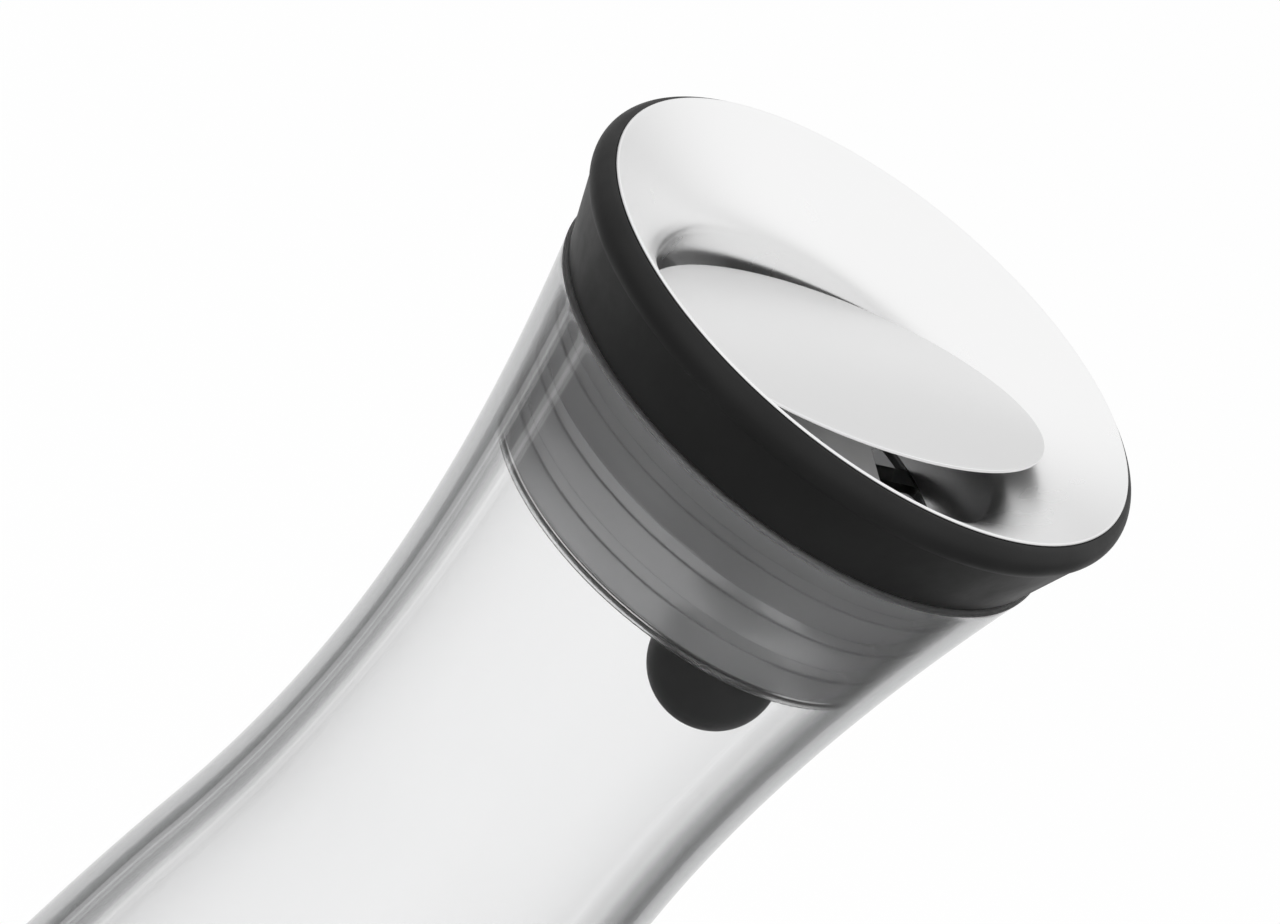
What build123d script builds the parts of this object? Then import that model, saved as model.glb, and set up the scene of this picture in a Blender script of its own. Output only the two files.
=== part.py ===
"""A waisted glass water carafe with a closure that tips open by itself.

Millimetres. The origin is the centre of the foot and +Z runs up the axis.
The closure lifts out of the neck as one unit. In its steel funnel a round
disc hangs on a ball-shaped rocker, with a weight on a stem below it. When the
carafe is tipped, the weight swings to the low side and the disc's edge lifts
there. The disc is drawn open, as it stands while water is poured.
"""

import os
from math import asin, atan2, cos, degrees, radians, sin, sqrt, tan

from build123d import *

os.makedirs("parts", exist_ok=True)

# Driving sizes of the glass
glass_height = 274.0
mouth_radius = 41.05
waist_height = 200.0
waist_radius = 31.3
waist_curve = 251.0
neck_fullness = 0.453
belly_height = 35.0
belly_overhang = 0.8
foot_radius = 43.6
foot_rounding = 7.0
glass_wall = 2.0
base_thickness = 9.0
base_corner = 12.0
mouth_rounding = 0.9
punt_radius = 27.0
punt_depth = 1.2

# Driving sizes of the steel funnel
rim_rise = 16.0
rim_overhang = 1.95
steel = 0.8
sheet_rounding = 0.35
throat_start = 11.0
flare_depth = 8.2
funnel_depth = 26.0

# Driving sizes of the silicone collar
collar_bulge = 2.0
bulge_drop = 2.4
cone_drop = 5.4
cone_inset = 0.8
collar_top_drop = 0.7
collar_shoulder = 0.9

# Driving sizes of the carrier, the ribbed sleeve and its retainer
carrier_depth = 42.5
carrier_wall = 1.9
sleeve_thickness = 2.3
flange_thickness = 2.4
flange_gap = 0.8
spigot_wall = 1.9
spigot_rise = 8.0
ledge_thickness = 1.5
ledge_width = 1.97
grate_margin = 1.1
grate_ring = 3.5
grate_corner = 1.2
bar_count = 10
bar_width = 3.3
bar_lead = 16.0
window_corner = 1.0
window_margin = 0.2
rib_count = 4
groove_width = 1.1
groove_depth = 1.0
rib_crown = 0.35
retainer_lip = 0.7
retainer_band = 1.0
retainer_rounding = 0.3

# Driving sizes of the tipping disc, its rocker and the weight
open_tilt = 17.15
pour_azimuth = -26.5
pivot_drop = 5.0
disc_drop = 3.3
disc_gap = 0.4
disc_sheet = 0.5
disc_crown = 0.25
disc_rounding = 0.18
backing_thickness = 1.2
seal_width = 1.0
seal_inset = 3.8
rocker_radius = 12.0
rocker_end_angle = 30.0
glide_thickness = 1.24
glide_start_angle = 33.0
glide_end_angle = 45.0
stem_radius = 2.5
stem_chamfer = 0.4
weight_drop = 51.1
weight_radius = 9.6
cover_wall = 1.5
core_bore_depth = 9.0

# Driving sizes of the bridge that carries the rocker
bridge_azimuth = -40.0
bridge_shell = 1.7
bridge_hole_angle = 30.5
arm_extra_slope = 0.5
arm_thickness = 1.9
arm_width_inner = 9.6
arm_width_outer = 10.0
hub_radius = 11.4
leg_thickness = 1.8
leg_foot_drop = 32.6
hook_width = 5.6
hook_height = 3.6
hook_reach = 2.5

# Clearances
fit_gap = 0.05
running_gap = 0.06
glass_gap = 0.3
leg_gap = 0.25
hook_gap = 0.2
hook_side_gap = 0.9
stem_hole_gap = 1.4

# Heights and places that follow from them
rim_height = glass_height + rim_rise
rim_radius = mouth_radius + rim_overhang
belly_radius = rim_radius + collar_bulge + belly_overhang
pivot_height = rim_height - pivot_drop
carrier_bottom = rim_height - carrier_depth
funnel_bottom = rim_height - funnel_depth
pivot = (0, 0, pivot_height)
tilt = radians(open_tilt)
rounding_share = 0.45


def wall_limited(radius, wall):
    """A rounding that leaves a flat between two edges of a wall."""
    return min(radius, rounding_share * wall)


# Curves of the glass: a flare above the waist that straightens upwards, two arcs below it
neck_rise = glass_height - waist_height
neck_step = mouth_radius - waist_radius
neck_handle = neck_fullness * neck_rise
belly_drop = waist_height - belly_height
belly_step = belly_radius - waist_radius
flare_angle = 2 * atan2(belly_step, belly_drop)
flare_turn = (
    waist_radius + waist_curve * (1 - cos(flare_angle)),
    waist_height - waist_curve * sin(flare_angle),
)


def bore_radius(height):
    """Inner radius of the glass neck at a height above the waist."""
    slack = 1 - 2 * neck_fullness
    share = (height - waist_height) / neck_rise
    along = (sqrt(neck_fullness**2 + slack * share) - neck_fullness) / slack
    return waist_radius - glass_wall + neck_step * along**2


def carrier_outside(height):
    """Outer radius of the carrier's wall, which runs in a straight line down the neck."""
    top = bore_radius(glass_height) - glass_gap - sleeve_thickness
    bottom = bore_radius(carrier_bottom) - glass_gap - sleeve_thickness
    share = (height - carrier_bottom) / (glass_height - carrier_bottom)
    return bottom + share * (top - bottom)


# The funnel's throat stands on the carrier's ledge, just inside the carrier's wall
ledge_top = funnel_bottom - fit_gap
ledge_bottom = ledge_top - ledge_thickness
throat_radius = carrier_outside(ledge_bottom) - carrier_wall - ledge_width
disc_radius = throat_radius - disc_gap


def draw_glass_side(inset, bottom):
    """The side line of the glass from the bottom to the mouth, moved inwards."""
    belly = (belly_radius - inset, belly_height)
    turn = (flare_turn[0] - inset, flare_turn[1])
    waist = (waist_radius - inset, waist_height)
    neck = (waist_radius - inset, waist_height + neck_handle)
    TangentArc(belly, (foot_radius - inset, bottom), tangent=(0, -1))
    TangentArc(belly, turn, tangent=(0, 1))
    TangentArc(waist, turn, tangent=(0, -1))
    Bezier(waist, neck, (mouth_radius - inset, glass_height))


def corner_near(sketch, x, y):
    """The corner of a sketch that lies nearest to a point."""
    return sketch.vertices().sort_by_distance((x, y, 0))[0]


# Glass body: blown wall, thick base, shallow punt under it
with BuildPart() as glass_body:
    with BuildSketch(Plane.XZ) as glass_outside:
        with BuildLine():
            draw_glass_side(0, 0)
            Polyline((mouth_radius, glass_height), (0, glass_height), (0, 0), (foot_radius, 0))
        make_face()
        fillet(corner_near(glass_outside, foot_radius, 0), radius=foot_rounding)
    revolve(axis=Axis.Z)
    with BuildSketch(Plane.XZ) as glass_inside:
        with BuildLine():
            draw_glass_side(glass_wall, base_thickness)
            Polyline(
                (mouth_radius - glass_wall, glass_height),
                (0, glass_height),
                (0, base_thickness),
                (foot_radius - glass_wall, base_thickness),
            )
        make_face()
        fillet(corner_near(glass_inside, foot_radius, base_thickness), radius=base_corner)
    revolve(axis=Axis.Z, mode=Mode.SUBTRACT)
    with BuildSketch(Plane.XZ):
        with BuildLine():
            TangentArc((0, punt_depth), (punt_radius, 0), tangent=(1, 0))
            Polyline((punt_radius, 0), (0, 0), (0, punt_depth))
        make_face()
    revolve(axis=Axis.Z, mode=Mode.SUBTRACT)
    fillet(glass_body.edges().group_by(Axis.Z)[-1], radius=wall_limited(mouth_rounding, glass_wall))
glass_body.part.label = "glass_body"
export_step(glass_body.part, "parts/glass_body.step")


# The funnel's bowl is one curve from the upright throat to the sloping rim
flare_lean = atan2(flare_depth, rim_radius - throat_radius)


def flare_points(offset):
    """Throat, knee and rim of the bowl's curve, moved outwards through the sheet."""
    rim = (rim_radius + offset * sin(flare_lean), rim_height - offset * cos(flare_lean))
    knee_radius = throat_radius + offset
    knee = (knee_radius, rim[1] - (rim[0] - knee_radius) * tan(flare_lean))
    throat = (knee_radius, rim_height - throat_start)
    return throat, knee, rim


def draw_funnel_space(offset):
    """Outline of all that lies inside the bowl, as far as the axis."""
    throat, knee, rim = flare_points(offset)
    Bezier(throat, knee, rim)
    Polyline(
        rim,
        (rim[0], rim_height + steel),
        (0, rim_height + steel),
        (0, funnel_bottom),
        (throat[0], funnel_bottom),
        throat,
    )


# Pouring funnel: spun steel sheet with a rounded rim and an upright throat
with BuildPart() as pouring_funnel:
    inner_throat, inner_knee, inner_rim = flare_points(0)
    outer_throat, outer_knee, outer_rim = flare_points(steel)
    with BuildSketch(Plane.XZ):
        with BuildLine():
            Bezier(inner_throat, inner_knee, inner_rim)
            Line(inner_rim, outer_rim)
            Bezier(outer_rim, outer_knee, outer_throat)
            Polyline(
                outer_throat,
                (outer_throat[0], funnel_bottom),
                (inner_throat[0], funnel_bottom),
                inner_throat,
            )
        make_face()
    revolve(axis=Axis.Z)
    fillet(pouring_funnel.edges().group_by(Axis.Z)[-1], radius=wall_limited(sheet_rounding, steel))
    fillet(pouring_funnel.edges().group_by(Axis.Z)[0], radius=wall_limited(sheet_rounding, steel))
pouring_funnel.part.label = "pouring_funnel"
export_step(pouring_funnel.part, "parts/pouring_funnel.step")


# Silicone collar: a soft ring that hugs the bowl and stands on the glass mouth
flange_radius = bore_radius(glass_height) - flange_gap
collar_inner = flange_radius + fit_gap
with BuildPart() as silicone_collar:
    cone_top = (rim_radius + collar_bulge - cone_inset, rim_height - cone_drop)
    bulge = (rim_radius + collar_bulge, rim_height - bulge_drop)
    collar_top = (rim_radius + collar_shoulder, rim_height - collar_top_drop)
    with BuildSketch(Plane.XZ):
        with BuildLine():
            Line((collar_inner, glass_height), (mouth_radius, glass_height))
            Line((mouth_radius, glass_height), cone_top)
            ThreePointArc(cone_top, bulge, collar_top)
            Polyline(collar_top, (collar_inner, collar_top[1]), (collar_inner, glass_height))
        make_face()
    revolve(axis=Axis.Z)
    with BuildSketch(Plane.XZ):
        with BuildLine():
            draw_funnel_space(steel + fit_gap)
        make_face()
    revolve(axis=Axis.Z, mode=Mode.SUBTRACT)
silicone_collar.part.label = "silicone_collar"
export_step(silicone_collar.part, "parts/silicone_collar.step")


# Inside the ledge is a spoked grate: a ring round the stem's hole, held by radial bars
stem_hole_radius = (pivot_height - ledge_bottom) * tan(tilt) + stem_radius / cos(tilt) + stem_hole_gap
grate_inner = stem_hole_radius + grate_ring
grate_outer = throat_radius - grate_margin
grate_middle = (grate_inner + grate_outer) / 2
first_bar = bridge_azimuth + bar_lead

# Two windows in the carrier's wall, close under the ledge, take the hooks of the bridge
window_width = hook_width + 2 * hook_side_gap
window_height = hook_height + 2 * hook_gap
window_middle = ledge_bottom - window_margin - window_height / 2


def radial_plane(azimuth, height):
    """An upright plane through the axis that faces outwards."""
    turn = radians(azimuth)
    return Plane(
        origin=(0, 0, height),
        x_dir=(-sin(turn), cos(turn), 0),
        z_dir=(cos(turn), sin(turn), 0),
    )


hook_planes = [radial_plane(bridge_azimuth + turn, window_middle) for turn in (0, 180)]

# Carrier: the moulded cage in the neck that holds the funnel, the grate and the bridge
with BuildPart() as carrier_cage:
    spigot_inner = throat_radius + steel + fit_gap
    spigot_top = rim_height - spigot_rise
    flange_top = glass_height + flange_thickness
    with BuildSketch(Plane.XZ):
        with BuildLine():
            Polyline(
                (spigot_inner, spigot_top),
                (spigot_inner + spigot_wall, spigot_top),
                (spigot_inner + spigot_wall, flange_top),
                (flange_radius, flange_top),
                (flange_radius, glass_height),
                (carrier_outside(glass_height), glass_height),
                (carrier_outside(carrier_bottom), carrier_bottom),
                (carrier_outside(carrier_bottom) - carrier_wall, carrier_bottom),
                (carrier_outside(ledge_bottom) - carrier_wall, ledge_bottom),
                (stem_hole_radius, ledge_bottom),
                (stem_hole_radius, ledge_top),
                (carrier_outside(ledge_top) - carrier_wall, ledge_top),
                (carrier_outside(glass_height) - carrier_wall, glass_height),
                (spigot_inner, glass_height),
                close=True,
            )
        make_face()
    revolve(axis=Axis.Z)
    with BuildSketch(Plane.XZ):
        with BuildLine():
            draw_funnel_space(steel + fit_gap)
        make_face()
    revolve(axis=Axis.Z, mode=Mode.SUBTRACT)
    with BuildSketch(Plane.XY.offset(ledge_bottom)) as grate_windows:
        Circle(grate_outer)
        Circle(grate_inner, mode=Mode.SUBTRACT)
        with PolarLocations(grate_middle, bar_count, start_angle=first_bar):
            Rectangle(grate_outer, bar_width, mode=Mode.SUBTRACT)
        fillet(grate_windows.vertices(), radius=grate_corner)
    extrude(amount=ledge_thickness, mode=Mode.SUBTRACT)
    with BuildSketch(*hook_planes):
        RectangleRounded(window_width, window_height, window_corner)
    extrude(amount=mouth_radius, mode=Mode.SUBTRACT)
carrier_cage.part.label = "carrier_cage"
export_step(carrier_cage.part, "parts/carrier_cage.step")


# Seal sleeve: broad crowned ribs that fill the neck, parted by narrow grooves
sleeve_top = glass_height - fit_gap
sleeve_bottom = carrier_bottom + retainer_band
rib_pitch = (sleeve_top - sleeve_bottom + groove_width) / rib_count


def draw_sleeve_side():
    """The ribbed outside line of the sleeve, from the bottom rib to the top one."""
    for i in range(rib_count):
        low = sleeve_bottom + i * rib_pitch
        high = low + rib_pitch - groove_width
        middle = (low + high) / 2
        low_point = (bore_radius(low) - glass_gap - rib_crown, low)
        high_point = (bore_radius(high) - glass_gap - rib_crown, high)
        ThreePointArc(low_point, (bore_radius(middle) - glass_gap, middle), high_point)
        if i < rib_count - 1:
            next_low = high + groove_width
            Polyline(
                high_point,
                (bore_radius(high) - glass_gap - groove_depth, high),
                (bore_radius(next_low) - glass_gap - groove_depth, next_low),
                (bore_radius(next_low) - glass_gap - rib_crown, next_low),
            )


with BuildPart() as seal_sleeve:
    with BuildSketch(Plane.XZ):
        with BuildLine():
            draw_sleeve_side()
            Polyline(
                (bore_radius(sleeve_top) - glass_gap - rib_crown, sleeve_top),
                (carrier_outside(sleeve_top) + fit_gap, sleeve_top),
                (carrier_outside(sleeve_bottom) + fit_gap, sleeve_bottom),
                (bore_radius(sleeve_bottom) - glass_gap - rib_crown, sleeve_bottom),
            )
        make_face()
    revolve(axis=Axis.Z)
seal_sleeve.part.label = "seal_sleeve"
export_step(seal_sleeve.part, "parts/seal_sleeve.step")


# Sleeve retainer: a snap ring under the carrier that keeps the sleeve up
with BuildPart() as sleeve_retainer:
    retainer_radius = bore_radius(carrier_bottom) - glass_gap - rib_crown
    band_inner = carrier_outside(sleeve_bottom) + fit_gap
    lip_top = carrier_bottom - fit_gap
    lip_inner = carrier_outside(carrier_bottom) - carrier_wall
    with BuildSketch(Plane.XZ):
        with BuildLine():
            Polyline(
                (band_inner, sleeve_bottom - fit_gap),
                (retainer_radius, sleeve_bottom - fit_gap),
                (retainer_radius, lip_top - retainer_lip),
                (lip_inner, lip_top - retainer_lip),
                (lip_inner, lip_top),
                (band_inner, lip_top),
                close=True,
            )
        make_face()
    revolve(axis=Axis.Z)
    fillet(sleeve_retainer.edges().group_by(Axis.Z)[0], radius=wall_limited(retainer_rounding, retainer_lip))
sleeve_retainer.part.label = "sleeve_retainer"
export_step(sleeve_retainer.part, "parts/sleeve_retainer.step")


def polar(radius, angle):
    """Radius and drop of a point on a ball round the pivot, by its angle from straight down."""
    return radius * sin(radians(angle)), radius * cos(radians(angle))


# Glide ring: a ball-shaped washer between the rocker and the bridge
glide_inner = rocker_radius + running_gap
glide_outer = glide_inner + glide_thickness
dish_radius = glide_outer + running_gap


def draw_ball_line(radius, start, end):
    """An arc round the pivot, in an upright section through the axis."""
    points = [polar(radius, angle) for angle in (start, (start + end) / 2, end)]
    ThreePointArc(*[(r, pivot_height - drop) for r, drop in points])


def section_point(radius, angle):
    """The same point as a corner of an upright section."""
    r, drop = polar(radius, angle)
    return (r, pivot_height - drop)


with BuildPart() as glide_ring:
    with BuildSketch(Plane.XZ):
        with BuildLine():
            draw_ball_line(glide_inner, glide_start_angle, glide_end_angle)
            draw_ball_line(glide_outer, glide_start_angle, glide_end_angle)
            for angle in (glide_start_angle, glide_end_angle):
                Line(section_point(glide_inner, angle), section_point(glide_outer, angle))
        make_face()
    revolve(axis=Axis.Z)
glide_ring.part.label = "glide_ring"
export_step(glide_ring.part, "parts/glide_ring.step")


# Bearing bridge: a dished hub on two arms that fall as steeply as the disc tips.
# Its legs stand in two windows of the grate, and their hooks snap in under the ledge.
arm_slope = tan(radians(open_tilt + arm_extra_slope))
dish_edge_radius, dish_edge_drop = polar(dish_radius, glide_end_angle)
leg_outer = grate_outer - leg_gap
leg_inner = leg_outer - leg_thickness
leg_middle = leg_outer - leg_thickness / 2


def arm_height(radius):
    """Height of an arm's upper face at a distance from the axis."""
    return pivot_height - dish_edge_drop - (radius - dish_edge_radius) * arm_slope


with BuildPart() as bearing_bridge:
    foot_height = rim_height - leg_foot_drop
    shell_outer = dish_radius + bridge_shell
    shell_side = section_point(shell_outer, glide_end_angle)
    with BuildSketch(Plane.XZ) as bridge_section:
        with BuildLine():
            draw_ball_line(dish_radius, bridge_hole_angle, glide_end_angle)
            Polyline(
                section_point(dish_radius, glide_end_angle),
                (leg_outer, arm_height(leg_outer)),
                (leg_outer, foot_height),
                (leg_inner, foot_height),
                (leg_inner, arm_height(leg_inner) - arm_thickness),
                (shell_side[0], arm_height(shell_side[0]) - arm_thickness),
                section_point(shell_outer, bridge_hole_angle),
                section_point(dish_radius, bridge_hole_angle),
            )
        make_face()
        fillet(corner_near(bridge_section, leg_outer, arm_height(leg_outer)), radius=leg_thickness)
    revolve(axis=Axis.Z)
    with BuildSketch(Plane.XY.offset(foot_height)):
        Circle(hub_radius)
        for azimuth in (bridge_azimuth, bridge_azimuth + 180):
            with BuildLine(Plane.XY.rotated((0, 0, azimuth))):
                Polyline(
                    (0, arm_width_inner / 2),
                    (throat_radius, arm_width_outer / 2),
                    (throat_radius, -arm_width_outer / 2),
                    (0, -arm_width_inner / 2),
                    close=True,
                )
            make_face()
    extrude(amount=funnel_depth, mode=Mode.INTERSECT)
    with BuildSketch(*[plane.offset(leg_middle) for plane in hook_planes]):
        Rectangle(hook_width, hook_height)
    extrude(amount=throat_radius + hook_reach - leg_middle)
bearing_bridge.part.label = "bearing_bridge"
export_step(bearing_bridge.part, "parts/bearing_bridge.step")


# The tipping parts turn together round the pivot, and are drawn in their own leaning plane
pour = radians(pour_azimuth)
pour_side = Vector(cos(pour) * cos(tilt), sin(pour) * cos(tilt), sin(tilt))
disc_up = Vector(-cos(pour) * sin(tilt), -sin(pour) * sin(tilt), cos(tilt))
tipping_axis = Axis(pivot, disc_up)
tipping_section = Plane(origin=pivot, x_dir=pour_side, z_dir=pour_side.cross(disc_up))

disc_bottom_drop = disc_drop + disc_sheet
backing_drop = disc_bottom_drop + backing_thickness
backing_radius = disc_radius - seal_inset - seal_width - fit_gap


def tipping_point(radius, angle):
    """A point on a ball round the pivot, in the leaning section."""
    r, drop = polar(radius, angle)
    return (r, -drop)


# Closing disc: a slightly crowned steel plate with a rounded edge
with BuildPart() as closing_disc:
    with BuildSketch(tipping_section) as disc_section:
        with BuildLine():
            TangentArc((0, disc_crown - disc_drop), (disc_radius, -disc_drop), tangent=(1, 0))
            Polyline(
                (disc_radius, -disc_drop),
                (disc_radius, -disc_bottom_drop),
                (0, -disc_bottom_drop),
                (0, disc_crown - disc_drop),
            )
        make_face()
        edge_corners = [
            corner_near(disc_section, disc_radius, -disc_drop),
            corner_near(disc_section, disc_radius, -disc_bottom_drop),
        ]
        fillet(edge_corners, radius=wall_limited(disc_rounding, disc_sheet))
    revolve(axis=tipping_axis)
closing_disc.part.label = "closing_disc"
export_step(closing_disc.part, "parts/closing_disc.step")


# Disc seal: a thin silicone ring round the disc's backing, well inside the disc's edge
with BuildPart() as disc_seal:
    with BuildSketch(tipping_section):
        seal_middle = backing_radius + fit_gap + seal_width / 2
        with Locations((seal_middle, -disc_bottom_drop - backing_thickness / 2)):
            Rectangle(seal_width, backing_thickness - 2 * fit_gap)
    revolve(axis=tipping_axis)
disc_seal.part.label = "disc_seal"
export_step(disc_seal.part, "parts/disc_seal.step")


# Rocker plate: the disc's moulded backing with its ball-shaped rocker
stem_top_drop = disc_bottom_drop + backing_thickness
with BuildPart() as rocker_plate:
    rocker_side = degrees(asin(sqrt(1 - (backing_drop / rocker_radius) ** 2)))
    rocker_end = tipping_point(rocker_radius, rocker_end_angle)
    with BuildSketch(tipping_section):
        with BuildLine():
            Polyline(
                rocker_end,
                (stem_radius + fit_gap, rocker_end[1]),
                (stem_radius + fit_gap, -stem_top_drop),
                (0, -stem_top_drop),
                (0, -disc_bottom_drop - fit_gap),
                (backing_radius, -disc_bottom_drop - fit_gap),
                (backing_radius, -backing_drop),
                tipping_point(rocker_radius, rocker_side),
            )
            middle_angle = (rocker_side + rocker_end_angle) / 2
            ThreePointArc(
                tipping_point(rocker_radius, rocker_side),
                tipping_point(rocker_radius, middle_angle),
                rocker_end,
            )
        make_face()
    revolve(axis=tipping_axis)
rocker_plate.part.label = "rocker_plate"
export_step(rocker_plate.part, "parts/rocker_plate.step")


# Stem: a steel rod from the rocker down into the weight
core_radius = weight_radius - cover_wall
stem_bottom_drop = weight_drop - core_radius + core_bore_depth
with BuildPart() as stem:
    with BuildSketch(tipping_section):
        with BuildLine():
            Polyline(
                (0, -stem_top_drop - fit_gap),
                (stem_radius, -stem_top_drop - fit_gap),
                (stem_radius, fit_gap - stem_bottom_drop),
                (0, fit_gap - stem_bottom_drop),
                close=True,
            )
        make_face()
    revolve(axis=tipping_axis)
    chamfer(stem.edges().filter_by(GeomType.CIRCLE), length=stem_chamfer)
stem.part.label = "stem"
export_step(stem.part, "parts/stem.step")


def draw_weight_section(radius, bore, bore_end_drop):
    """Half a ball round the weight's centre, with a bore for the stem from above."""
    mouth = (bore, sqrt(radius**2 - bore**2) - weight_drop)
    lowest = (0, -weight_drop - radius)
    ThreePointArc(lowest, (radius, -weight_drop), mouth)
    Polyline(mouth, (bore, -bore_end_drop), (0, -bore_end_drop), lowest)


# Weight core: a steel ball with a blind bore
with BuildPart() as weight_core:
    with BuildSketch(tipping_section):
        with BuildLine():
            draw_weight_section(core_radius - fit_gap, stem_radius + fit_gap, stem_bottom_drop)
        make_face()
    revolve(axis=tipping_axis)
weight_core.part.label = "weight_core"
export_step(weight_core.part, "parts/weight_core.step")


# Weight cover: a soft black skin stretched over the core
with BuildPart() as weight_cover:
    with BuildSketch(tipping_section):
        with BuildLine():
            draw_weight_section(weight_radius, stem_radius + fit_gap, weight_drop)
        make_face()
    revolve(axis=tipping_axis)
    with Locations(Vector(pivot) - disc_up * weight_drop):
        Sphere(core_radius, mode=Mode.SUBTRACT)
weight_cover.part.label = "weight_cover"
export_step(weight_cover.part, "parts/weight_cover.step")
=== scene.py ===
"""Dresses the waisted water carafe: clear glass, a steel funnel in a soft collar, and a tipping disc.

Everything is in metres, in the frame of the packed model: +Z runs up the axis and the foot stands on z = 0.
"""

from math import asin, atan2, cos, pi, radians, sin, sqrt, tan

import bmesh
import bpy
from bpy.props import FloatProperty, FloatVectorProperty, IntProperty, PointerProperty
from mathutils import Matrix, Vector


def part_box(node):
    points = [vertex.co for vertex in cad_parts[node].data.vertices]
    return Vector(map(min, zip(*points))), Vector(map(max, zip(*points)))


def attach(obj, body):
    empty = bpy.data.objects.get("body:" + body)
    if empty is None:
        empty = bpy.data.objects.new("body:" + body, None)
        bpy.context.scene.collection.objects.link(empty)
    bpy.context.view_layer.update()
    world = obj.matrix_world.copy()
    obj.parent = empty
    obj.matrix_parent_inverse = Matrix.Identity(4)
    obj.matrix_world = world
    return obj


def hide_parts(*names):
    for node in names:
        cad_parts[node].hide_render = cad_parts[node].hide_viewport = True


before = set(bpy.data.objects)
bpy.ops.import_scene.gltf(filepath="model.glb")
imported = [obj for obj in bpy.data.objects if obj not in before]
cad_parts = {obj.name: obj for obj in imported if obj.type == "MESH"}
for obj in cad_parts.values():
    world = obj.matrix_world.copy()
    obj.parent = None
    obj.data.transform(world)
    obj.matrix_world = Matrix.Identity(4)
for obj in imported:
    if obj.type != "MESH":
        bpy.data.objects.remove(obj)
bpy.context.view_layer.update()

bl_info = {
    "name": "Water Carafe",
    "version": (1, 0, 0),
    "blender": (4, 5, 0),
    "location": "3D View > Sidebar > Carafe",
    "description": "Builds a waisted glass carafe with a lift-out closure round its packed frame",
    "category": "Object",
}

MM = 0.001
# Points nearer than this are one point
CLOSE = 2e-7
# Steps round the axis, for steel that mirrors, for the other large pieces and for the ball
STEEL_STEPS = 256
ROUND_STEPS = 192
BALL_STEPS = 128
# Share of the painted edge shade in the glass's colour, by how far the surface turns from the eye
PAINTED_EDGE_SHADE_SHARES = ((0.25, 0.01), (0.4, 0.06), (0.5, 0.14), (0.58, 0.34), (0.64, 0.66), (0.8, 0.88))

glass_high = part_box("glass_body")[1]
funnel_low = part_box("pouring_funnel")[0]
collar_low, collar_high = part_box("silicone_collar")
sleeve_low, sleeve_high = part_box("seal_sleeve")


def length(name, description, default):
    """A length that shows in the panel."""
    return FloatProperty(
        name=name, description=description, default=default, min=0.0, precision=5, unit="LENGTH"
    )


def angle(name, description, degrees):
    """An angle that shows in the panel."""
    return FloatProperty(name=name, description=description, default=radians(degrees), subtype="ANGLE")


def number(name, description, default):
    """A plain number that shows in the panel."""
    return FloatProperty(name=name, description=description, default=default)


def colour(name, description, default):
    """A colour that shows in the panel."""
    return FloatVectorProperty(
        name=name, description=description, default=default, min=0.0, max=1.0, subtype="COLOR"
    )


def place(name, description, default):
    """A place that shows in the panel."""
    return FloatVectorProperty(name=name, description=description, default=default, subtype="TRANSLATION")


def direction(name, description, default):
    """A direction that shows in the panel."""
    return FloatVectorProperty(name=name, description=description, default=default, subtype="DIRECTION")


class GlassSizes(bpy.types.PropertyGroup):
    """Sizes of the blown glass."""

    height: length("Height", "Foot to mouth", glass_high.z)
    belly_radius: length("Belly Radius", "Widest radius of the glass", glass_high.x)
    belly_height: length("Belly Height", "Height of the widest place", 35 * MM)
    foot_radius: length("Foot Radius", "Radius at the table", 43.6 * MM)
    foot_rounding: length("Foot Rounding", "Rounding under the belly", 7 * MM)
    waist_radius: length("Waist Radius", "Narrowest radius", 31.3 * MM)
    waist_height: length("Waist Height", "Height of the narrowest place", 200 * MM)
    waist_curve: length("Waist Curve", "Radius of the curve below the waist", 251 * MM)
    mouth_radius: length("Mouth Radius", "Outer radius of the mouth", 41.05 * MM)
    mouth_rounding: length("Mouth Rounding", "Fire-polished edge of the mouth", 0.9 * MM)
    lip_height: length("Lip Height", "Height of the dull band at the mouth", 1 * MM)
    lip_roughness: number("Lip Roughness", "How dull the mouth's edge is", 0.6)
    neck_fullness: number("Neck Fullness", "How soon the neck flares", 0.453)
    wall: length("Wall", "Thickness of the wall", 2 * MM)
    base: length("Base", "Thickness of the base", 9 * MM)
    base_corner: length("Base Corner", "Rounding between wall and base", 12 * MM)
    punt_radius: length("Punt Radius", "Radius of the hollow underneath", 27 * MM)
    punt_depth: length("Punt Depth", "Depth of the hollow underneath", 1.2 * MM)
    segments: IntProperty(name="Segments", description="Steps round the axis", default=ROUND_STEPS, min=24)


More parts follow.
